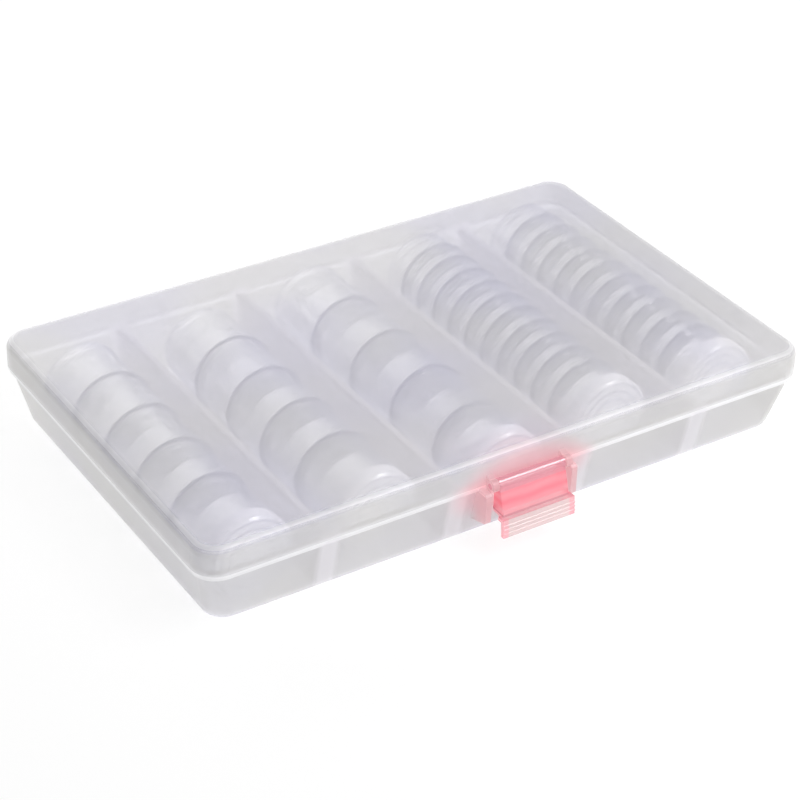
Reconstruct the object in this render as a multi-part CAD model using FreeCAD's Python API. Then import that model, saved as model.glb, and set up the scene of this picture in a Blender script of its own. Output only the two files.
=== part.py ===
import FreeCAD, Part
import math
import os

from FreeCAD import Vector

# A flat hinged storage case of clear moulded plastic, lying closed on its base.
# Four ridges divide the tray into five troughs, and a stack of round screw-together
# jars lies on its side in each trough. A coloured latch hangs on the lid's front edge.
# Millimetres. X runs along the case's long side, -Y faces the latch, +Z is up.
# The origin is the middle of the tray's flat underside.

# Lid, closed
LID_LENGTH = 275.0
LID_DEPTH = 174.5
CASE_HEIGHT = 38.5
PARTING_HEIGHT = 26.0
LID_CORNER = 10.5
LID_EDGE_FILLET = 4.0
LID_DRAFT = 0.2
LID_WALL = 1.3
LID_PANEL = 1.2

# Tray
TRAY_WALL = 1.3
TRAY_FLOOR = 1.3
TRAY_SETBACK = 1.3
TRAY_TAPER = 0.23
TRAY_CORNER = 9.2
TRAY_BOTTOM_FILLET = 5.0
FLANGE_THICKNESS = 1.3
FLANGE_SETBACK = 0.5
LIP_HEIGHT = 2.0
LIP_CLEARANCE = 0.35

# Hollow ridges between the troughs, at these shares of the lid's length from its middle
INNER_RIDGE_SHARE = 0.1029
OUTER_RIDGE_SHARE = 0.3076
RIDGE_RISE = 1.5
RIDGE_TOP_RADIUS = 2.1
RIDGE_FOOT_HALF = 3.1
RIDGE_SKIN = 1.2

# Low ribs that keep each stack in the middle of its trough
CRADLE_OFFSET = 10.0
CRADLE_THICKNESS = 1.2
CRADLE_HEIGHT = 3.0
CRADLE_MARGIN = 19.25

# Jars
JAR_FLOOR_CLEARANCE = 0.35
JAR_LID_CLEARANCE = 0.85
MOUTH_FLARE = 0.9
FLARE_SHARE = 0.45
SKIRT_WALL = 1.0
THREAD_ROOM = 0.4
NECK_WALL = 1.0
NECK_LENGTH = 4.0
SOCKET_DEPTH = 4.3
JAR_FLOOR = 1.2
CAP_LENGTH = 6.5
CAP_CHAMFER = 0.9

# Each stack from left to right: how far its ends stand inside the lid's outline, rear and front,
# and the lengths of its jars beside each other
STACKS = (
    (20.25, 13.75, (1,) * 5),
    (20.25, 13.75, (1,) * 5),
    (12.25, 12.25, (1, 1, 1, 1, 0.629)),
    (12.25, 21.55, (1,) * 11),
    (12.25, 21.55, (1,) * 11),
)

# Lid hinges at the rear
HINGE_X = 70.0
HINGE_OFFSET = 3.2
HINGE_DROP = 1.0
HINGE_EYE_RADIUS = 2.7
HINGE_PIN_RADIUS = 1.5
HINGE_PIN_CLEARANCE = 0.05
HINGE_ARM_HALF = 6.0
HINGE_SIDE_GAP = 0.3
HINGE_EAR_THICKNESS = 2.6
HINGE_CLIP_SLOT = 2.4
HINGE_ARM_RISE = 6.0
HINGE_EAR_DROP = 9.0

# Latch
LATCH_HALF = 15.0
LATCH_AXIS_OFFSET = 2.9
LATCH_AXIS_RISE = 1.8
LATCH_BARREL_RADIUS = 2.3
LATCH_PIN_RADIUS = 1.2
LATCH_PIN_CLEARANCE = 0.05
LATCH_SKIN = 1.8
LATCH_BROW_OFFSET = 5.5
LATCH_BROW_DROP = 0.6
CHEEK_THICKNESS = 1.6
CHEEK_CLEARANCE = 0.35
LATCH_WAIST_OFFSET = 8.6
LATCH_WAIST_DROP = 11.0
LIP_HALF = 16.4
LIP_OFFSET = 10.3
LIP_FLARE = 0.6
LIP_DROP = 7.0
LIP_THICKNESS = 1.6
GRIP_RADIUS = 0.45
GRIP_COUNT = 3
LUG_GAP = 0.3
LUG_THICKNESS = 2.8
LUG_RADIUS = 2.6
LUG_RISE = 5.5
CATCH_DROP = 7.2
CATCH_NOSE = 1.6
CATCH_OFFSET = 1.0
CATCH_ROOT_RISE = 2.2
TOOTH_CLEARANCE = 0.08
TOOTH_UNDER = 0.2
TOOTH_TIP = 0.9
TOOTH_ROOT = 3.4
GUARD_GAP = 0.3
GUARD_THICKNESS = 2.5
GUARD_OFFSET = 5.0
GUARD_TOP_DROP = 0.6
GUARD_BOTTOM_DROP = 16.5
GUARD_CORNER = 3.0

# How far a piece that is joined to a wall reaches into it
ROOT = 0.8

LID_HALF_X = LID_LENGTH / 2
LID_HALF_Y = LID_DEPTH / 2
LID_FRONT = -LID_HALF_Y
FLANGE_BOTTOM = PARTING_HEIGHT - FLANGE_THICKNESS
LIP_TOP = PARTING_HEIGHT + LIP_HEIGHT
RIDGE_TOP = PARTING_HEIGHT + RIDGE_RISE
INNER_RIDGE_X = LID_LENGTH * INNER_RIDGE_SHARE
OUTER_RIDGE_X = LID_LENGTH * OUTER_RIDGE_SHARE
RIDGE_PLACES = (-OUTER_RIDGE_X, -INNER_RIDGE_X, INNER_RIDGE_X, OUTER_RIDGE_X)
JAR_BOTTOM = TRAY_FLOOR + JAR_FLOOR_CLEARANCE
JAR_TOP = CASE_HEIGHT - LID_PANEL - JAR_LID_CLEARANCE
JAR_AXIS_HEIGHT = (JAR_BOTTOM + JAR_TOP) / 2
JAR_RADIUS = (JAR_TOP - JAR_BOTTOM) / 2
JAR_BODY_RADIUS = JAR_RADIUS - MOUTH_FLARE
SOCKET_RADIUS = JAR_BODY_RADIUS - SKIRT_WALL
NECK_RADIUS = SOCKET_RADIUS - THREAD_ROOM
JAR_BORE_RADIUS = NECK_RADIUS - NECK_WALL
ALONG_X = Vector(1, 0, 0)
ALONG_Y = Vector(0, 1, 0)


def tray_drawn_in(height):
    """How far the tray's outer face stands inside the lid's outline at a height."""
    return TRAY_SETBACK + TRAY_TAPER * (PARTING_HEIGHT - height)


# The outer troughs' middles lie halfway between a ridge's foot and the end wall at the jars' axis
OUTER_TROUGH_WALL_X = LID_HALF_X - tray_drawn_in(JAR_AXIS_HEIGHT) - TRAY_WALL
NEXT_TROUGH_X = (INNER_RIDGE_X + OUTER_RIDGE_X) / 2
OUTER_TROUGH_X = (OUTER_RIDGE_X + RIDGE_FOOT_HALF + OUTER_TROUGH_WALL_X) / 2
TROUGH_CENTRES = (-OUTER_TROUGH_X, -NEXT_TROUGH_X, 0.0, NEXT_TROUGH_X, OUTER_TROUGH_X)


def rounded_rectangle(half_x, half_y, radius, height):
    """Closed outline of a rectangle with round corners about the Z axis."""
    arcs = []
    for turn in (45, 135, 225, 315):
        middle = math.radians(turn)
        centre = Vector(
            math.copysign(half_x - radius, math.cos(middle)),
            math.copysign(half_y - radius, math.sin(middle)),
            height,
        )
        points = [
            centre + Vector(radius * math.cos(angle), radius * math.sin(angle), 0)
            for angle in (middle - math.pi / 4, middle, middle + math.pi / 4)
        ]
        arcs.append(Part.Arc(*points).toShape())
    edges = []
    for arc, following in zip(arcs, arcs[1:] + arcs[:1]):
        edges.append(arc)
        edges.append(Part.makeLine(arc.Vertexes[-1].Point, following.Vertexes[0].Point))
    return Part.Wire(edges)


def edges_at_height(shape, height):
    """The edges that lie flat at one height."""
    return [
        edge
        for edge in shape.Edges
        if all(abs(vertex.Point.z - height) < 1e-6 for vertex in edge.Vertexes)
    ]


def lid_block(inset, bottom, top, fillet):
    """The lid's tapered block drawn in by inset, with its upper edge rounded."""
    low = rounded_rectangle(LID_HALF_X - inset, LID_HALF_Y - inset, LID_CORNER - inset, bottom)
    drawn = inset + LID_DRAFT
    high = rounded_rectangle(LID_HALF_X - drawn, LID_HALF_Y - drawn, LID_CORNER - drawn, top)
    block = Part.makeLoft([low, high], True, True)
    return block.makeFillet(fillet, edges_at_height(block, top))



def tray_block(inset, bottom, top):
    """The tray's tapered block drawn in by inset, with its lower edge rounded."""
    outlines = []
    for height in (bottom, top):
        drawn = tray_drawn_in(height) + inset
        corner = TRAY_CORNER - inset
        outlines.append(
            rounded_rectangle(LID_HALF_X - drawn, LID_HALF_Y - drawn, corner, height)
        )
    block = Part.makeLoft(outlines, True, True)
    return block.makeFillet(TRAY_BOTTOM_FILLET - inset, edges_at_height(block, bottom))


def rim_block(inset, bottom, top):
    """An upright block with the lid's outline drawn in by inset."""
    outline = rounded_rectangle(
        LID_HALF_X - inset, LID_HALF_Y - inset, LID_CORNER - inset, bottom
    )
    return Part.Face(outline).extrude(Vector(0, 0, top - bottom))


def ridge_block(centre_x, foot_half, top_radius, bottom, top, half_length):
    """A long bar with leaning sides and a round top, along Y."""
    shoulder = top - top_radius
    foot_left = Vector(centre_x - foot_half, -half_length, bottom)
    left = Vector(centre_x - top_radius, -half_length, shoulder)
    crest = Vector(centre_x, -half_length, top)
    right = Vector(centre_x + top_radius, -half_length, shoulder)
    foot_right = Vector(centre_x + foot_half, -half_length, bottom)
    outline = Part.Wire(
        [
            Part.makeLine(foot_left, left),
            Part.Arc(left, crest, right).toShape(),
            Part.makeLine(right, foot_right),
            Part.makeLine(foot_right, foot_left),
        ]
    )
    return Part.Face(outline).extrude(Vector(0, 2 * half_length, 0))


def plate_across_x(points, low_x, high_x):
    """A solid of constant section along X, from its (y, z) outline."""
    corners = [Vector(low_x, y, z) for y, z in points]
    outline = Part.makePolygon(corners + corners[:1])
    return Part.Face(outline).extrude(Vector(high_x - low_x, 0, 0))


def rod_along_x(radius, low_x, high_x, y, z):
    return Part.makeCylinder(radius, high_x - low_x, Vector(low_x, y, z), ALONG_X)


def round_x_edges(shape, radius, points):
    """Round the edges along X that pass through the given (y, z) points."""
    chosen = [
        edge
        for edge in shape.Edges
        if any(
            all(math.hypot(v.Point.y - y, v.Point.z - z) < 1e-6 for v in edge.Vertexes)
            for y, z in points
        )
    ]
    return shape.makeFillet(radius, chosen)


def both_sides(make, inner, outer):
    """Two copies of a piece that spans inner to outer in X, left and right of the middle."""
    return [make(-outer, -inner), make(inner, outer)]


# Lid hinge

HINGE_Y = LID_HALF_Y + HINGE_OFFSET
HINGE_Z = PARTING_HEIGHT - HINGE_DROP


def tray_hinge_ears(centre_x):
    """Two open clips that hold the lid's pins on either side of its arm."""
    inner = HINGE_ARM_HALF + HINGE_SIDE_GAP
    outer = inner + HINGE_EAR_THICKNESS
    foot_z = HINGE_Z - HINGE_EAR_DROP
    top_z = PARTING_HEIGHT - HINGE_SIDE_GAP
    web = [
        (LID_HALF_Y - tray_drawn_in(foot_z) - ROOT, foot_z),
        (HINGE_Y + HINGE_EYE_RADIUS / 2, HINGE_Z - HINGE_EYE_RADIUS / 2),
        (HINGE_Y, top_z),
        (LID_HALF_Y - tray_drawn_in(top_z) - ROOT, top_z),
    ]

    def ear(low, high):
        plate = plate_across_x(web, centre_x + low, centre_x + high)
        eye = rod_along_x(HINGE_EYE_RADIUS, centre_x + low, centre_x + high, HINGE_Y, HINGE_Z)
        bore_radius = HINGE_PIN_RADIUS + HINGE_PIN_CLEARANCE
        bore = rod_along_x(bore_radius, centre_x + low, centre_x + high, HINGE_Y, HINGE_Z)
        slot_corner = Vector(centre_x + low, HINGE_Y, HINGE_Z - HINGE_CLIP_SLOT / 2)
        slot = Part.makeBox(high - low, 2 * HINGE_EYE_RADIUS, HINGE_CLIP_SLOT, slot_corner)
        return plate.fuse(eye).cut([bore, slot])

    return both_sides(ear, inner, outer)


def lid_hinge_arm(centre_x):
    """The lid's arm with a pin out of each side."""
    low = centre_x - HINGE_ARM_HALF
    high = centre_x + HINGE_ARM_HALF
    root_y = LID_HALF_Y - ROOT
    web = [
        (root_y, PARTING_HEIGHT),
        (LID_HALF_Y, PARTING_HEIGHT),
        (HINGE_Y - HINGE_EYE_RADIUS / 2, HINGE_Z - HINGE_EYE_RADIUS / 2),
        (HINGE_Y + HINGE_EYE_RADIUS / 2, HINGE_Z + HINGE_EYE_RADIUS / 2),
        (root_y, PARTING_HEIGHT + HINGE_ARM_RISE),
    ]
    arm = plate_across_x(web, low, high)
    eye = rod_along_x(HINGE_EYE_RADIUS, low, high, HINGE_Y, HINGE_Z)
    reach = HINGE_SIDE_GAP + HINGE_EAR_THICKNESS
    pin = rod_along_x(HINGE_PIN_RADIUS, low - reach, high + reach, HINGE_Y, HINGE_Z)
    return arm.fuse([eye, pin])


# Latch and the pieces of the case that it works on

LATCH_Y = LID_FRONT - LATCH_AXIS_OFFSET
LATCH_Z = PARTING_HEIGHT + LATCH_AXIS_RISE
LUG_INNER = LATCH_HALF + LUG_GAP
LUG_OUTER = LUG_INNER + LUG_THICKNESS
GUARD_INNER = LUG_OUTER + GUARD_GAP
CATCH_Z = PARTING_HEIGHT - CATCH_DROP
CATCH_Y = LID_FRONT - CATCH_OFFSET


def lid_latch_lugs():
    """Two lugs on the lid's front wall with a bore each for the latch's pins."""
    root_y = LID_FRONT + ROOT
    web = [
        (root_y, PARTING_HEIGHT),
        (LID_FRONT, PARTING_HEIGHT),
        (LATCH_Y, LATCH_Z - LUG_RADIUS),
        (LATCH_Y - LUG_RADIUS / 2, LATCH_Z + LUG_RADIUS / 2),
        (root_y, PARTING_HEIGHT + LUG_RISE),
    ]

    def lug(low, high):
        plate = plate_across_x(web, low, high)
        eye = rod_along_x(LUG_RADIUS, low, high, LATCH_Y, LATCH_Z)
        bore_radius = LATCH_PIN_RADIUS + LATCH_PIN_CLEARANCE
        bore = rod_along_x(bore_radius, low, high, LATCH_Y, LATCH_Z)
        return plate.fuse(eye).cut(bore)

    return both_sides(lug, LUG_INNER, LUG_OUTER)


def tray_latch_bay():
    """The catch ledge on the tray's front wall and a guard rib at each end of it."""
    nose_bottom = CATCH_Z - CATCH_NOSE
    root_z = CATCH_Z + CATCH_ROOT_RISE
    ledge = [
        (LID_FRONT + tray_drawn_in(nose_bottom) + ROOT, nose_bottom),
        (CATCH_Y, nose_bottom),
        (CATCH_Y, CATCH_Z),
        (LID_FRONT + tray_drawn_in(root_z) + ROOT, root_z),
    ]
    catch = plate_across_x(ledge, -GUARD_INNER - ROOT, GUARD_INNER + ROOT)

    top_z = PARTING_HEIGHT - GUARD_TOP_DROP
    bottom_z = PARTING_HEIGHT - GUARD_BOTTOM_DROP
    guard_y = LID_FRONT - GUARD_OFFSET
    outline = [
        (LID_FRONT + tray_drawn_in(bottom_z) + ROOT, bottom_z),
        (guard_y, bottom_z + GUARD_CORNER),
        (guard_y, top_z),
        (LID_FRONT + tray_drawn_in(top_z) + ROOT, top_z),
    ]

    def guard(low, high):
        plate = plate_across_x(outline, low, high)
        return round_x_edges(plate, GUARD_CORNER / 2, outline[1:3])

    return [catch] + both_sides(guard, GUARD_INNER, GUARD_INNER + GUARD_THICKNESS)


def latch():
    """The coloured latch: barrel, leaning face between two cheeks, inner tooth and finger lip."""
    brow = (LID_FRONT - LATCH_BROW_OFFSET, PARTING_HEIGHT - LATCH_BROW_DROP)
    waist = (LID_FRONT - LATCH_WAIST_OFFSET, PARTING_HEIGHT - LATCH_WAIST_DROP)
    face_outline = [
        (LATCH_Y, LATCH_Z + LATCH_BARREL_RADIUS),
        (LATCH_Y - LATCH_BARREL_RADIUS / 2, LATCH_Z + LATCH_BARREL_RADIUS * 0.8),
        brow,
        waist,
        (waist[0] + LATCH_SKIN, waist[1]),
        (brow[0] + LATCH_SKIN, brow[1]),
        (LATCH_Y, LATCH_Z - LATCH_BARREL_RADIUS / 2),
    ]
    face = plate_across_x(face_outline, -LATCH_HALF, LATCH_HALF)
    barrel = rod_along_x(LATCH_BARREL_RADIUS, -LATCH_HALF, LATCH_HALF, LATCH_Y, LATCH_Z)
    pin_reach = LUG_INNER + LUG_THICKNESS
    pin = rod_along_x(LATCH_PIN_RADIUS, -pin_reach, pin_reach, LATCH_Y, LATCH_Z)

    cheek_y = CATCH_Y - CHEEK_CLEARANCE
    cheek_outline = [(cheek_y, LATCH_Z), (LATCH_Y, LATCH_Z), brow, waist, (cheek_y, waist[1])]

    def cheek(low, high):
        return plate_across_x(cheek_outline, low, high)

    cheeks = both_sides(cheek, LATCH_HALF - CHEEK_THICKNESS, LATCH_HALF)

    lip_top = (LID_FRONT - LIP_OFFSET, waist[1])
    lip_foot = (lip_top[0] - LIP_FLARE, waist[1] - LIP_DROP)
    lip_outline = [
        (waist[0] + LATCH_SKIN, waist[1] + LIP_THICKNESS / 2),
        (lip_top[0], waist[1] + LIP_THICKNESS / 2),
        lip_foot,
        (lip_foot[0] + LIP_THICKNESS, lip_foot[1]),
        (lip_top[0] + LIP_THICKNESS, waist[1] - LIP_THICKNESS / 2),
        (waist[0] + LATCH_SKIN, waist[1] - LIP_THICKNESS / 2),
    ]
    lip = plate_across_x(lip_outline, -LIP_HALF, LIP_HALF)
    grips = []
    for number in range(1, GRIP_COUNT + 1):
        share = number / (GRIP_COUNT + 1)
        grip_y = lip_top[0] + share * (lip_foot[0] - lip_top[0])
        grip_z = lip_top[1] + share * (lip_foot[1] - lip_top[1])
        grips.append(rod_along_x(GRIP_RADIUS, -LIP_HALF, LIP_HALF, grip_y, grip_z))

    tip_y = CATCH_Y - TOOTH_CLEARANCE
    tip_z = CATCH_Z - CATCH_NOSE - TOOTH_UNDER
    root_y = waist[0] + LATCH_SKIN / 2
    tooth_outline = [
        (root_y, tip_z + TOOTH_UNDER),
        (tip_y, tip_z),
        (tip_y, tip_z - TOOTH_TIP),
        (root_y, tip_z - TOOTH_ROOT),
    ]
    tooth = plate_across_x(tooth_outline, -LATCH_HALF, LATCH_HALF)
    return face.fuse([barrel, pin, lip, tooth] + cheeks + grips).removeSplitter()


# The case

def lid():
    outer = lid_block(0, PARTING_HEIGHT, CASE_HEIGHT, LID_EDGE_FILLET)
    hollow_fillet = LID_EDGE_FILLET - LID_WALL
    hollow = lid_block(LID_WALL, PARTING_HEIGHT, CASE_HEIGHT - LID_PANEL, hollow_fillet)
    pieces = lid_latch_lugs()
    for centre_x in (-HINGE_X, HINGE_X):
        pieces.append(lid_hinge_arm(centre_x))
    return outer.cut(hollow).fuse(pieces).removeSplitter()


def tray():
    """The tray: tapered tub, flange and lip, ridges, cradle ribs, hinge clips and latch bay."""
    outer = tray_block(0, 0, PARTING_HEIGHT)
    flange = rim_block(FLANGE_SETBACK, FLANGE_BOTTOM, PARTING_HEIGHT)
    lip_inset = LID_WALL + LIP_CLEARANCE
    lip = rim_block(lip_inset, PARTING_HEIGHT, LIP_TOP)
    mouth = rim_block(TRAY_SETBACK + TRAY_WALL, PARTING_HEIGHT, LIP_TOP)
    cavity = tray_block(TRAY_WALL, TRAY_FLOOR, PARTING_HEIGHT)
    tub = outer.fuse([flange, lip]).cut([cavity, mouth])

    whole_block = outer.fuse(lip)
    flat_half = LID_HALF_Y - tray_drawn_in(0) - TRAY_BOTTOM_FILLET
    additions = tray_latch_bay()
    hollows = []
    for centre_x in RIDGE_PLACES:
        ridge = ridge_block(
            centre_x, RIDGE_FOOT_HALF, RIDGE_TOP_RADIUS, 0, RIDGE_TOP, LID_HALF_Y
        )
        additions.append(ridge.common(whole_block))
        core_foot = RIDGE_FOOT_HALF - RIDGE_SKIN
        core_radius = RIDGE_TOP_RADIUS - RIDGE_SKIN
        core_top = RIDGE_TOP - RIDGE_SKIN
        core = ridge_block(centre_x, core_foot, core_radius, 0, core_top, LID_HALF_Y)
        hollows.append(core.common(cavity))
        foot = Part.makeBox(
            2 * core_foot,
            2 * flat_half,
            TRAY_BOTTOM_FILLET,
            Vector(centre_x - core_foot, -flat_half, 0),
        )
        hollows.append(foot.common(core))
    rib_half = LID_HALF_Y - CRADLE_MARGIN
    for centre_x in TROUGH_CENTRES:
        for near_x in (centre_x - CRADLE_OFFSET - CRADLE_THICKNESS, centre_x + CRADLE_OFFSET):
            corner = Vector(near_x, -rib_half, TRAY_FLOOR - ROOT)
            rib = Part.makeBox(CRADLE_THICKNESS, 2 * rib_half, ROOT + CRADLE_HEIGHT, corner)
            additions.append(rib)
    for centre_x in (-HINGE_X, HINGE_X):
        additions.extend(tray_hinge_ears(centre_x))
    return tub.fuse(additions).cut(hollows).removeSplitter()


# Jars and caps. A profile is a list of (radius, distance from the rear rim) points.

def turned(profile, centre_x, rear_y):
    """A solid of revolution on a trough's jar axis, running forward from rear_y."""
    points = [
        Vector(centre_x + radius, rear_y - distance, JAR_AXIS_HEIGHT)
        for radius, distance in profile
    ]
    outline = Part.makePolygon(points + points[:1])
    axis_point = Vector(centre_x, 0, JAR_AXIS_HEIGHT)
    return Part.Face(outline).revolve(axis_point, ALONG_Y, 360)


def jar_profile(length):
    """A jar with a socket under its floor, a flared mouth, and a neck for the next piece."""
    floor_top = SOCKET_DEPTH + JAR_FLOOR
    return [
        (0, SOCKET_DEPTH),
        (SOCKET_RADIUS, SOCKET_DEPTH),
        (SOCKET_RADIUS, 0),
        (JAR_BODY_RADIUS, 0),
        (JAR_BODY_RADIUS, length * (1 - FLARE_SHARE)),
        (JAR_RADIUS, length),
        (NECK_RADIUS, length),
        (NECK_RADIUS, length + NECK_LENGTH),
        (JAR_BORE_RADIUS, length + NECK_LENGTH),
        (JAR_BORE_RADIUS, floor_top),
        (0, floor_top),
    ]


def cap_profile():
    return [
        (0, SOCKET_DEPTH),
        (SOCKET_RADIUS, SOCKET_DEPTH),
        (SOCKET_RADIUS, 0),
        (JAR_RADIUS, 0),
        (JAR_RADIUS, CAP_LENGTH - CAP_CHAMFER),
        (JAR_RADIUS - CAP_CHAMFER, CAP_LENGTH),
        (0, CAP_LENGTH),
    ]


def stack_pieces():
    """Every jar and cap by its node name."""
    pieces = {}
    for stack, (rear_margin, front_margin, shares) in enumerate(STACKS, start=1):
        centre_x = TROUGH_CENTRES[stack - 1]
        rear_y = LID_HALF_Y - rear_margin
        jars_end = CAP_LENGTH + front_margin - LID_HALF_Y
        unit = (rear_y - jars_end) / sum(shares)
        for number, share in enumerate(shares, start=1):
            pieces[f"jar_{stack}_{number:02d}"] = turned(jar_profile(unit * share), centre_x, rear_y)
            rear_y -= unit * share
        pieces[f"cap_{stack}"] = turned(cap_profile(), centre_x, rear_y)
    return pieces


os.makedirs("parts", exist_ok=True)
nodes = {"base_tray": tray(), "lid": lid(), "latch": latch()}
nodes.update(stack_pieces())
for name, shape in nodes.items():
    solids = shape.Solids
    if len(solids) != 1 or not shape.isValid():
        raise ValueError(f"{name} has {len(solids)} solids, valid: {shape.isValid()}")
    solids[0].exportStep(f"parts/{name}.step")
    print(name, round(solids[0].Volume), "mm3")
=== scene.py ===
import math

import bmesh
import bpy
from mathutils import Matrix, Vector


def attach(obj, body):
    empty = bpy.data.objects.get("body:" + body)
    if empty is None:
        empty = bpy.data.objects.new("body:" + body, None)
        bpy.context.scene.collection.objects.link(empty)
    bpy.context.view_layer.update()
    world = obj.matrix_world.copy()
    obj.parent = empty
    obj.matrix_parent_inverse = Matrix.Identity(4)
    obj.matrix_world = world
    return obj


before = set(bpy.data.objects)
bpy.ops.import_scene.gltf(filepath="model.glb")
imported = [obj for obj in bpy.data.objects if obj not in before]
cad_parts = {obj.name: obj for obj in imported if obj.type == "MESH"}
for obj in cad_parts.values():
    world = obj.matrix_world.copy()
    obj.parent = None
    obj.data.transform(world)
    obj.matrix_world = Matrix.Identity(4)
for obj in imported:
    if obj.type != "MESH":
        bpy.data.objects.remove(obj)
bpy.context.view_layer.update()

# Everything is in metres, in the frame of the CAD part: X along the long side, -Y the latch side, Z up.

# Jar stacks, with the same values as the part's source
JAR_AXIS_HEIGHT = 0.01905
JOINT_RADIUS = 0.0152
NECK_RADIUS = 0.0151
CAP_LENGTH = 0.0065
OUTER_TROUGH_X = 0.1105
NEXT_TROUGH_X = 0.05644
STACKS = (
    (1, -OUTER_TROUGH_X, 0.067, (0.0268,) * 5),
    (2, -NEXT_TROUGH_X, 0.067, (0.0268,) * 5),
    (3, 0.0, 0.075, (0.031,) * 4 + (0.0195,)),
    (4, NEXT_TROUGH_X, 0.075, (0.0122,) * 11),
    (5, OUTER_TROUGH_X, 0.075, (0.0122,) * 11),
)

# Screw threads on the necks
THREAD_PITCH = 0.0012
THREAD_TURNS = 2.2
THREAD_HEIGHT = 0.0003
THREAD_HALF_WIDTH = 0.0004
THREAD_SEGMENTS = 56

# Raised rings on the caps' faces
RING_RADII = (0.0158, 0.0126, 0.0092)
RING_HEIGHT = 0.0003
RING_HALF_WIDTH = 0.0004
RING_SEGMENTS = 72

# Ridges between the troughs: each lies this far from a line halfway between the two on its side
RIDGE_PAIR_X = 0.05644
RIDGE_FROM_PAIR = 0.02815
RIDGE_HALF_WIDTH = 0.003

# Colours
CASE_COOL = (0.67, 0.66, 0.73)
CASE_WARM = (0.69, 0.68, 0.7)
WALL_GREY = (0.64, 0.635, 0.615)
# Painted pink glow of the latch's light in the case around it
PAINTED_LATCH_GLOW = (0.9, 0.5, 0.54)
# Painted highlight along the case's edges and the tray's rim
EDGE_PAINTED_HIGHLIGHT = (0.85, 0.85, 0.86)
# Painted light that makes the ridges and the posts they end in paler
RIDGE_PAINTED_LIGHT = (0.78, 0.77, 0.79)
JAR_COOL = (0.62, 0.63, 0.75)
JAR_WARM = (0.67, 0.67, 0.74)
# Painted shade on the faces where one jar meets the next
JAR_JOINT_SHADE = (0.3, 0.3, 0.37)
CAP_COOL = (0.93, 0.93, 0.97)
CAP_WARM = (0.96, 0.95, 0.96)
RING_COOL = (0.56, 0.56, 0.64)
RING_WARM = (0.6, 0.6, 0.66)
LATCH_DEEP = (0.95, 0.27, 0.35)
LATCH_MIDDLE = (0.96, 0.42, 0.48)
# Painted light on the latch's upward band above its brow
LATCH_PAINTED_TOP_LIGHT = (0.74, 0.38, 0.45)
# Painted shadow along the groove over the latch's lip
LATCH_GROOVE_SHADOW = (0.62, 0.14, 0.2)
# The latch's lip: pale for its thin plastic, with a painted highlight
LATCH_LIP_THIN_AND_HIGHLIT = (0.81, 0.68, 0.68)
LATCH_LIP_END = (0.95, 0.5, 0.55)

# Heights between which the case's edges catch the light
LID_TOP_EDGE = (0.03745, 0.0383)
LID_LOW_EDGE = (0.0258, 0.0268)
TRAY_RIM_EDGE = (0.0245, 0.026)
EDGE_FADE = 0.0001
SKIRT_TOP = 0.0368
FLOOR_TOP = 0.002

# Where the latch's colours change, and how far the painted pink glow of the latch's light reaches into the case
LATCH_BROW_Z = 0.0254
LATCH_LIP_Z = 0.0158
LATCH_PLACE = (0.0, -0.091, 0.021)
LATCH_LIP_END_X = 0.0145
PAINTED_GLOW_SPREAD = (0.55, 1.0, 1.0)
PAINTED_GLOW_CORE = 0.012
PAINTED_GLOW_REACH = 0.021

# Share of light that plastic's surface reflects where it is seen edge on
EDGE_ON_GLOSS = 0.5

# Share of plain white in the floor that the camera sees, at the object and from far away from it on
PLAIN_WHITE_NEAR = 0.65
PLAIN_WHITE_FAR = 1.0
FLOOR_NEAR = 0.3
FLOOR_FAR = 1.6

# Camera, found by matching the photograph's outline
IMAGE_SIZE = 800
FOCAL_PIXELS = 2341.2
CAMERA_AZIMUTH = math.radians(-32.937)
CAMERA_ELEVATION = math.radians(32.953)
CAMERA_ROLL = math.radians(1.403)
CASE_LENGTH = 0.275
CAMERA_OFFSET = Vector((0.0014, -0.0305, 3.4943)) * CASE_LENGTH
SENSOR_WIDTH = 36.0


# Camera

def add_camera():
    azimuth, elevation = CAMERA_AZIMUTH, CAMERA_ELEVATION
    back = Vector((
        math.sin(azimuth) * math.cos(elevation),
        -math.cos(azimuth) * math.cos(elevation),
        math.sin(elevation),
    ))
    forward = -back
    right = forward.cross(Vector((0, 0, 1))).normalized()
    up = right.cross(forward)
    turned_right = right * math.cos(CAMERA_ROLL) + up * math.sin(CAMERA_ROLL)
    turned_up = up * math.cos(CAMERA_ROLL) - right * math.sin(CAMERA_ROLL)
    place = -(
        turned_right * CAMERA_OFFSET.x + turned_up * CAMERA_OFFSET.y + forward * CAMERA_OFFSET.z
    )
    data = bpy.data.cameras.new("camera")
    data.sensor_width = SENSOR_WIDTH
    data.lens = FOCAL_PIXELS * SENSOR_WIDTH / IMAGE_SIZE
    data.clip_start = 0.01
    camera = bpy.data.objects.new("camera", data)
    bpy.context.scene.collection.objects.link(camera)
    turn = Matrix((turned_right, turned_up, back)).transposed().to_4x4()
    camera.matrix_world = Matrix.Translation(place) @ turn
    bpy.context.scene.camera = camera


# Light and floor

def add_area_light(name, place, target, shape, size, power):
    data = bpy.data.lights.new(name, "AREA")
    data.shape = shape
    data.size, data.size_y = size
    data.energy = power
    lamp = bpy.data.objects.new(name, data)
    bpy.context.scene.collection.objects.link(lamp)
    place = Vector(place)
    lamp.location = place
    lamp.rotation_euler = (Vector(target) - place).to_track_quat("-Z", "Y").to_euler()


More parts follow.
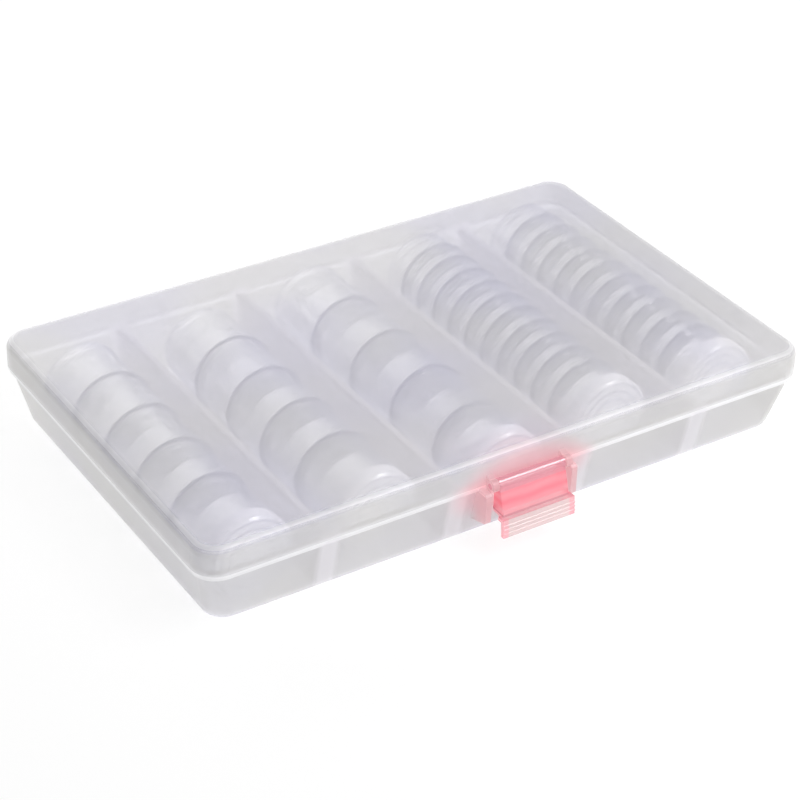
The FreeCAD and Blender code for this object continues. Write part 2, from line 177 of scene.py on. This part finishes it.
def white_floor():
    """Matt white that the camera sees partly as plain white, so that only a soft part of each shadow shows."""
    material, tree = set_up("floor")
    matt = add_node(tree, "ShaderNodeBsdfDiffuse")
    matt.inputs["Color"].default_value = (0.97, 0.97, 0.97, 1.0)
    plain = add_node(tree, "ShaderNodeEmission")
    plain.inputs["Color"].default_value = (1.0, 1.0, 1.0, 1.0)
    plain.inputs["Strength"].default_value = 1.0
    coordinates = add_node(tree, "ShaderNodeTexCoord").outputs["Object"]
    away = distance_from(tree, coordinates, (0.0, 0.0, 0.0))
    share = ramp(tree, away, FLOOR_NEAR, FLOOR_FAR, PLAIN_WHITE_NEAR, PLAIN_WHITE_FAR)
    seen = product_of(tree, share, add_node(tree, "ShaderNodeLightPath").outputs["Is Camera Ray"])
    mix = add_node(tree, "ShaderNodeMixShader")
    tree.links.new(seen, mix.inputs[0])
    tree.links.new(matt.outputs[0], mix.inputs[1])
    tree.links.new(plain.outputs[0], mix.inputs[2])
    output = add_node(tree, "ShaderNodeOutputMaterial")
    tree.links.new(mix.outputs[0], output.inputs["Surface"])
    return material


def add_surroundings():
    scene = bpy.context.scene
    scene.view_settings.view_transform = "Standard"
    scene.cycles.transparent_max_bounces = 40
    scene.cycles.max_bounces = 6
    scene.cycles.diffuse_bounces = 3
    scene.cycles.glossy_bounces = 3
    world = bpy.data.worlds.new("studio")
    scene.world = world
    world.use_nodes = True
    tree = world.node_tree
    background = tree.nodes["Background"]
    background.inputs["Color"].default_value = (1.0, 1.0, 1.0, 1.0)
    background.inputs["Strength"].default_value = 0.4
    seen = tree.nodes.new("ShaderNodeBackground")
    seen.inputs["Color"].default_value = (1.0, 1.0, 1.0, 1.0)
    seen.inputs["Strength"].default_value = 1.0
    path = tree.nodes.new("ShaderNodeLightPath")
    mix = tree.nodes.new("ShaderNodeMixShader")
    tree.links.new(path.outputs["Is Camera Ray"], mix.inputs[0])
    tree.links.new(background.outputs[0], mix.inputs[1])
    tree.links.new(seen.outputs[0], mix.inputs[2])
    tree.links.new(mix.outputs[0], tree.nodes["World Output"].inputs["Surface"])

    # A lit backdrop that the jars' flared mouths mirror, and a light that the lid's front edge mirrors
    add_area_light("backdrop", (0, 1.15, 0.02), (0, 0, 0.02), "DISK", (2.0, 2.0), 25.0)
    add_area_light("top_softbox", (0.6, -0.55, 1.05), (0, 0, 0.02), "RECTANGLE", (0.6, 0.6), 12.3)

    half = 4.0
    mesh = bpy.data.meshes.new("floor")
    corners = [(-half, -half, 0), (half, -half, 0), (half, half, 0), (-half, half, 0)]
    mesh.from_pydata(corners, [], [(0, 1, 2, 3)])
    floor = bpy.data.objects.new("floor", mesh)
    scene.collection.objects.link(floor)
    floor.location.z = -0.0002
    mesh.materials.append(white_floor())


# Materials

def set_up(name):
    material = bpy.data.materials.new(name)
    material.use_nodes = True
    tree = material.node_tree
    tree.nodes.clear()
    return material, tree


def add_node(tree, kind, **values):
    node = tree.nodes.new(kind)
    for key, value in values.items():
        setattr(node, key, value)
    return node


def noise(tree, coordinates, scale, detail=0.0):
    node = add_node(tree, "ShaderNodeTexNoise")
    node.inputs["Scale"].default_value = scale
    node.inputs["Detail"].default_value = detail
    tree.links.new(coordinates, node.inputs["Vector"])
    return node.outputs["Fac"]


def ramp(tree, source, low, high, out_low, out_high, shape="SMOOTHSTEP"):
    node = add_node(tree, "ShaderNodeMapRange", interpolation_type=shape)
    node.inputs["From Min"].default_value = low
    node.inputs["From Max"].default_value = high
    node.inputs["To Min"].default_value = out_low
    node.inputs["To Max"].default_value = out_high
    tree.links.new(source, node.inputs["Value"])
    return node.outputs["Result"]


def sum_of(tree, first, second):
    node = add_node(tree, "ShaderNodeMath", operation="ADD", use_clamp=True)
    tree.links.new(first, node.inputs[0])
    tree.links.new(second, node.inputs[1])
    return node.outputs[0]


def product_of(tree, first, second):
    """Second may be a node's output or a plain number."""
    node = add_node(tree, "ShaderNodeMath", operation="MULTIPLY")
    tree.links.new(first, node.inputs[0])
    if isinstance(second, float):
        node.inputs[1].default_value = second
    else:
        tree.links.new(second, node.inputs[1])
    return node.outputs[0]


def size_of(tree, value):
    node = add_node(tree, "ShaderNodeMath", operation="ABSOLUTE")
    tree.links.new(value, node.inputs[0])
    return node.outputs[0]


def away_from(tree, value, middle):
    """How far a value is from a middle, on either side."""
    node = add_node(tree, "ShaderNodeMath", operation="SUBTRACT")
    tree.links.new(value, node.inputs[0])
    node.inputs[1].default_value = middle
    return size_of(tree, node.outputs[0])


def split(tree, vector):
    """The three parts of a vector."""
    node = add_node(tree, "ShaderNodeSeparateXYZ")
    tree.links.new(vector, node.inputs[0])
    return node.outputs["X"], node.outputs["Y"], node.outputs["Z"]


def scaled(tree, vector, factors):
    node = add_node(tree, "ShaderNodeVectorMath", operation="MULTIPLY")
    tree.links.new(vector, node.inputs[0])
    node.inputs[1].default_value = factors
    return node.outputs["Vector"]


def distance_from(tree, vector, point):
    node = add_node(tree, "ShaderNodeVectorMath", operation="DISTANCE")
    tree.links.new(vector, node.inputs[0])
    node.inputs[1].default_value = point
    return node.outputs["Value"]


def surface_gloss(tree, facing, face_on):
    """Share of light that plastic's surface reflects, more where it is seen edge on, alike from both sides."""
    steep = add_node(tree, "ShaderNodeMath", operation="POWER")
    tree.links.new(facing, steep.inputs[0])
    steep.inputs[1].default_value = 5.0
    return ramp(tree, steep.outputs[0], 0.0, 1.0, face_on, EDGE_ON_GLOSS, "LINEAR")


def blend_colours(tree, share, first, second):
    """The first colour where share is 0 and the second where it is 1. Either may be a node's output."""
    node = add_node(tree, "ShaderNodeMix", data_type="RGBA")
    tree.links.new(share, node.inputs["Factor"])
    for socket, colour in ((node.inputs[6], first), (node.inputs[7], second)):
        if isinstance(colour, tuple):
            socket.default_value = (*colour, 1.0)
        else:
            tree.links.new(colour, socket)
    return node.outputs[2]


def clear_plastic(name, haze, edge_haze, roughness, face_on, bump, passing, colouring):
    """Plastic that shows what is behind it through a milky body, milkier where it is seen edge on.

    colouring(tree, coordinates) gives the body's colour and how much haze to add to its own.
    Light on its way from a lamp is dimmed by the passing share at each face."""
    material, tree = set_up(name)
    link = tree.links.new
    coordinates = add_node(tree, "ShaderNodeTexCoord").outputs["Object"]
    colour, extra_haze = colouring(tree, coordinates)
    weight = add_node(tree, "ShaderNodeLayerWeight")
    weight.inputs["Blend"].default_value = 0.5
    body_share = ramp(tree, weight.outputs["Facing"], 0.3, 1.0, haze, haze + edge_haze)
    if extra_haze:
        body_share = sum_of(tree, body_share, extra_haze)

    diffuse = add_node(tree, "ShaderNodeBsdfDiffuse")
    translucent = add_node(tree, "ShaderNodeBsdfTranslucent")
    link(colour, diffuse.inputs["Color"])
    link(colour, translucent.inputs["Color"])
    body = add_node(tree, "ShaderNodeMixShader")
    body.inputs[0].default_value = 0.45
    link(diffuse.outputs[0], body.inputs[1])
    link(translucent.outputs[0], body.inputs[2])

    clear = add_node(tree, "ShaderNodeBsdfTransparent")
    clear.inputs["Color"].default_value = (1.0, 1.0, 1.0, 1.0)
    see_through = add_node(tree, "ShaderNodeMixShader")
    link(body_share, see_through.inputs[0])
    link(clear.outputs[0], see_through.inputs[1])
    link(body.outputs[0], see_through.inputs[2])

    glossy = add_node(tree, "ShaderNodeBsdfGlossy")
    glossy.inputs["Roughness"].default_value = roughness
    glossy.inputs["Color"].default_value = (1.0, 1.0, 1.0, 1.0)
    if bump:
        fine = noise(tree, coordinates, 1400.0)
        bumped = add_node(tree, "ShaderNodeBump")
        bumped.inputs["Strength"].default_value = bump
        bumped.inputs["Distance"].default_value = 0.0002
        link(fine, bumped.inputs["Height"])
        link(bumped.outputs[0], glossy.inputs["Normal"])
    surface = add_node(tree, "ShaderNodeMixShader")
    link(surface_gloss(tree, weight.outputs["Facing"], face_on), surface.inputs[0])
    link(see_through.outputs[0], surface.inputs[1])
    link(glossy.outputs[0], surface.inputs[2])

    dimmed = add_node(tree, "ShaderNodeBsdfTransparent")
    dimmed.inputs["Color"].default_value = (passing, passing, passing, 1.0)
    path = add_node(tree, "ShaderNodeLightPath")
    whole = add_node(tree, "ShaderNodeMixShader")
    link(path.outputs["Is Shadow Ray"], whole.inputs[0])
    link(surface.outputs[0], whole.inputs[1])
    link(dimmed.outputs[0], whole.inputs[2])
    output = add_node(tree, "ShaderNodeOutputMaterial")
    link(whole.outputs[0], output.inputs["Surface"])
    return material


def clouds(cool, warm, scale):
    """Colouring that drifts slowly between two near colours."""
    def colouring(tree, coordinates):
        share = ramp(tree, noise(tree, coordinates, scale), 0.3, 0.7, 0.0, 1.0)
        return blend_colours(tree, share, cool, warm), None
    return colouring


def with_painted_latch_glow(tree, coordinates, colour):
    """A colour that takes a painted pink glow of the latch's light close by, and the haze that goes with it."""
    squeezed = scaled(tree, coordinates, PAINTED_GLOW_SPREAD)
    near = ramp(tree, distance_from(tree, squeezed, LATCH_PLACE), PAINTED_GLOW_CORE, PAINTED_GLOW_REACH, 0.6, 0.0)
    return blend_colours(tree, near, colour, PAINTED_LATCH_GLOW), product_of(tree, near, 0.25)


def between(tree, value, limits):
    """1 where the value lies between the limits, fading out over a short way beyond them."""
    low, high = limits
    above = ramp(tree, value, low - EDGE_FADE, low, 0.0, 1.0)
    return product_of(tree, above, ramp(tree, value, high, high + EDGE_FADE, 1.0, 0.0))


def lid_colouring(tree, coordinates):
    """Milky plastic, milkier and greyer in the skirt, with a painted highlight along the top and bottom edges
    and a painted pink glow of the latch's light near it.
    """
    base, _ = clouds(CASE_COOL, CASE_WARM, 22.0)(tree, coordinates)
    _, _, height = split(tree, coordinates)
    skirt = ramp(tree, height, SKIRT_TOP - 0.001, SKIRT_TOP, 1.0, 0.0)
    greyed = blend_colours(tree, product_of(tree, skirt, 0.7), base, WALL_GREY)
    # Painted highlight in bands along the lid's top and bottom edges
    edge = sum_of(tree, between(tree, height, LID_TOP_EDGE), between(tree, height, LID_LOW_EDGE))
    haze = sum_of(tree, product_of(tree, skirt, 0.2), product_of(tree, edge, 0.16))
    edge_highlighted = blend_colours(tree, edge, greyed, EDGE_PAINTED_HIGHLIGHT)
    colour, painted_glow_haze = with_painted_latch_glow(tree, coordinates, edge_highlighted)
    return colour, sum_of(tree, haze, painted_glow_haze)


def tray_colouring(tree, coordinates):
    """Milky plastic, greyer up its walls, with a painted highlight on the rim, painted light that makes the
    ridges and the posts they end in paler, and a painted pink glow of the latch's light near it.
    """
    base, _ = clouds(CASE_COOL, CASE_WARM, 22.0)(tree, coordinates)
    across, _, height = split(tree, coordinates)
    wall = ramp(tree, height, FLOOR_TOP, FLOOR_TOP + 0.002, 0.0, 1.0)
    greyed = blend_colours(tree, product_of(tree, wall, 0.7), base, WALL_GREY)
    # Painted highlight in a band along the tray's rim
    rim = between(tree, height, TRAY_RIM_EDGE)
    rim_highlighted = blend_colours(tree, rim, greyed, EDGE_PAINTED_HIGHLIGHT)
    # Painted light on the ridges and their posts, lifting the shade on their sides
    from_pair = away_from(tree, size_of(tree, across), RIDGE_PAIR_X)
    from_ridge = away_from(tree, from_pair, RIDGE_FROM_PAIR)
    on_ridge = ramp(tree, from_ridge, RIDGE_HALF_WIDTH * 0.8, RIDGE_HALF_WIDTH * 1.9, 1.0, 0.0)
    ridge_lightened = blend_colours(tree, on_ridge, rim_highlighted, RIDGE_PAINTED_LIGHT)
    colour, painted_glow_haze = with_painted_latch_glow(tree, coordinates, ridge_lightened)
    haze = sum_of(tree, product_of(tree, on_ridge, 0.22), product_of(tree, rim, 0.1))
    return colour, sum_of(tree, haze, sum_of(tree, product_of(tree, wall, 0.18), painted_glow_haze))


def jar_colouring(centre_x):
    """Bluish plastic, with painted shade on the narrow faces where one jar meets the next."""
    def colouring(tree, coordinates):
        base, _ = clouds(JAR_COOL, JAR_WARM, 40.0)(tree, coordinates)
        flat = scaled(tree, coordinates, (1.0, 0.0, 1.0))
        radius = distance_from(tree, flat, (centre_x, 0.0, JAR_AXIS_HEIGHT))
        # Painted shade on the end faces in the gap at each joint
        outer = ramp(tree, radius, JOINT_RADIUS - 0.0004, JOINT_RADIUS, 0.0, 1.0)
        _, along, _ = split(tree, add_node(tree, "ShaderNodeTexCoord").outputs["Normal"])
        end_face = ramp(tree, size_of(tree, along), 0.75, 0.95, 0.0, 1.0)
        joint_shade = product_of(tree, outer, end_face)
        return blend_colours(tree, joint_shade, base, JAR_JOINT_SHADE), product_of(tree, joint_shade, 0.45)
    return colouring


def latch_colouring(tree, coordinates):
    """Deep pink face, with painted light on the band above its brow, a painted shadow along the groove over the
    lip, and a whitish lip with pink ends, pale for its thin plastic and with a painted highlight.
    """
    across, _, height = split(tree, coordinates)
    streaks = add_node(tree, "ShaderNodeTexWave", bands_direction="Z")
    streaks.inputs["Scale"].default_value = 75.0
    streaks.inputs["Distortion"].default_value = 1.5
    tree.links.new(coordinates, streaks.inputs["Vector"])
    face = blend_colours(tree, streaks.outputs["Fac"], LATCH_DEEP, LATCH_MIDDLE)
    # Painted light on the band above the brow
    brow = ramp(tree, height, LATCH_BROW_Z - 0.0004, LATCH_BROW_Z + 0.0006, 0.0, 1.0)
    lit_upper = blend_colours(tree, brow, face, LATCH_PAINTED_TOP_LIGHT)
    # Painted shadow along the groove over the lip
    groove = ramp(tree, height, LATCH_LIP_Z + 0.0005, LATCH_LIP_Z + 0.0011, 1.0, 0.0)
    groove_shadowed = blend_colours(tree, groove, lit_upper, LATCH_GROOVE_SHADOW)
    end = ramp(tree, size_of(tree, across), LATCH_LIP_END_X - 0.001, LATCH_LIP_END_X, 0.0, 1.0)
    # The lip is pale for its thin plastic and carries a painted highlight
    lip_colour = blend_colours(tree, end, LATCH_LIP_THIN_AND_HIGHLIT, LATCH_LIP_END)
    lip = ramp(tree, height, LATCH_LIP_Z - 0.0002, LATCH_LIP_Z + 0.0001, 1.0, 0.0)
    return blend_colours(tree, lip, groove_shadowed, lip_colour), ramp(tree, height, 0.0, 0.02, 0.4, 0.28)


def assign(node, material):
    """Put a material in every slot of a node."""
    node.data.materials.clear()
    node.data.materials.append(material)
    for polygon in node.data.polygons:
        polygon.material_index = 0


# Threads and rings

def finished_object(name, built):
    mesh = bpy.data.meshes.new(name)
    built.to_mesh(mesh)
    built.free()
    for polygon in mesh.polygons:
        polygon.use_smooth = True
    piece = bpy.data.objects.new(name, mesh)
    bpy.context.scene.collection.objects.link(piece)
    return piece


def helix_ridge(name, centre_x, start_y, radius, turns, pitch, height, half_width):
    """A screw thread's ridge round a stack's axis, running forward from start_y, fading at both ends."""
    built = bmesh.new()
    steps = int(turns * THREAD_SEGMENTS)
    loops = []
    for step in range(steps + 1):
        share = step / steps
        angle = 2 * math.pi * turns * share
        fade = min(1.0, share * turns * 6, (1 - share) * turns * 6)
        y = start_y - pitch * turns * share
        loop = []
        for offset, rise in ((-half_width, -0.2), (-half_width * 0.3, 1.0), (half_width * 0.3, 1.0), (half_width, -0.2)):
            reach = radius + height * rise * max(fade, 0.02)
            loop.append(built.verts.new((
                centre_x + reach * math.cos(angle),
                y - offset,
                JAR_AXIS_HEIGHT + reach * math.sin(angle),
            )))
        loops.append(loop)
    for first, second in zip(loops, loops[1:]):
        count = len(first)
        for index in range(count):
            following = (index + 1) % count
            built.faces.new((first[index], first[following], second[following], second[index]))
    built.faces.new(loops[0])
    built.faces.new(list(reversed(loops[-1])))
    bmesh.ops.recalc_face_normals(built, faces=built.faces)
    return finished_object(name, built)


def raised_ring(name, centre_x, face_y, radius):
    """A low round ridge on a cap's front face, at the given radius from the stack's axis."""
    built = bmesh.new()
    profile = (
        (-RING_HALF_WIDTH, 0.0001), (-RING_HALF_WIDTH * 0.5, -RING_HEIGHT),
        (RING_HALF_WIDTH * 0.5, -RING_HEIGHT), (RING_HALF_WIDTH, 0.0001),
    )
    loops = []
    for step in range(RING_SEGMENTS):
        angle = 2 * math.pi * step / RING_SEGMENTS
        loop = []
        for outward, along in profile:
            reach = radius + outward
            loop.append(built.verts.new((
                centre_x + reach * math.cos(angle),
                face_y + along,
                JAR_AXIS_HEIGHT + reach * math.sin(angle),
            )))
        loops.append(loop)
    for step, first in enumerate(loops):
        second = loops[(step + 1) % RING_SEGMENTS]
        for index in range(len(profile)):
            following = (index + 1) % len(profile)
            built.faces.new((first[index], first[following], second[following], second[index]))
    bmesh.ops.recalc_face_normals(built, faces=built.faces)
    return finished_object(name, built)


def add_cap_rings(material):
    for stack, centre_x, rear_y, lengths in STACKS:
        face_y = rear_y - sum(lengths) - CAP_LENGTH
        for number, radius in enumerate(RING_RADII, start=1):
            ring = raised_ring(f"cap_{stack}_ring_{number}", centre_x, face_y, radius)
            ring.data.materials.append(material)
            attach(ring, f"cap_{stack}")


def add_threads(materials):
    for stack, centre_x, rear_y, lengths in STACKS:
        for number, length in enumerate(lengths, start=1):
            rear_y -= length
            ridge = helix_ridge(
                f"thread_{stack}_{number:02d}", centre_x, rear_y - 0.0007, NECK_RADIUS,
                THREAD_TURNS, THREAD_PITCH, THREAD_HEIGHT, THREAD_HALF_WIDTH,
            )
            ridge.data.materials.append(materials[stack])
            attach(ridge, f"stack_{stack}")


add_camera()
add_surroundings()

lid_plastic = clear_plastic("lid_plastic", 0.3, 0.4, 0.3, 0.012, 0.15, 0.95, lid_colouring)
tray_plastic = clear_plastic("tray_plastic", 0.3, 0.4, 0.35, 0.03, 0.15, 0.95, tray_colouring)
cap_plastic = clear_plastic("cap_plastic", 0.8, 0.4, 0.2, 0.14, 0.0, 0.95, clouds(CAP_COOL, CAP_WARM, 60.0))
ring_plastic = clear_plastic("ring_plastic", 0.5, 0.4, 0.2, 0.14, 0.0, 0.95, clouds(RING_COOL, RING_WARM, 60.0))
latch_plastic = clear_plastic("latch_plastic", 0.3, 0.3, 0.2, 0.06, 0.0, 0.85, latch_colouring)
jar_plastics = {
    stack: clear_plastic(f"jar_plastic_{stack}", 0.06, 0.45, 0.15, 0.3, 0.0, 0.96, jar_colouring(centre_x))
    for stack, centre_x, _, _ in STACKS
}

for name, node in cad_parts.items():
    if name.startswith("jar"):
        assign(node, jar_plastics[int(name.split("_")[1])])
    elif name.startswith("cap"):
        assign(node, cap_plastic)
    elif name == "latch":
        assign(node, latch_plastic)
    elif name == "lid":
        assign(node, lid_plastic)
    else:
        assign(node, tray_plastic)

add_threads(jar_plastics)
add_cap_rings(ring_plastic)
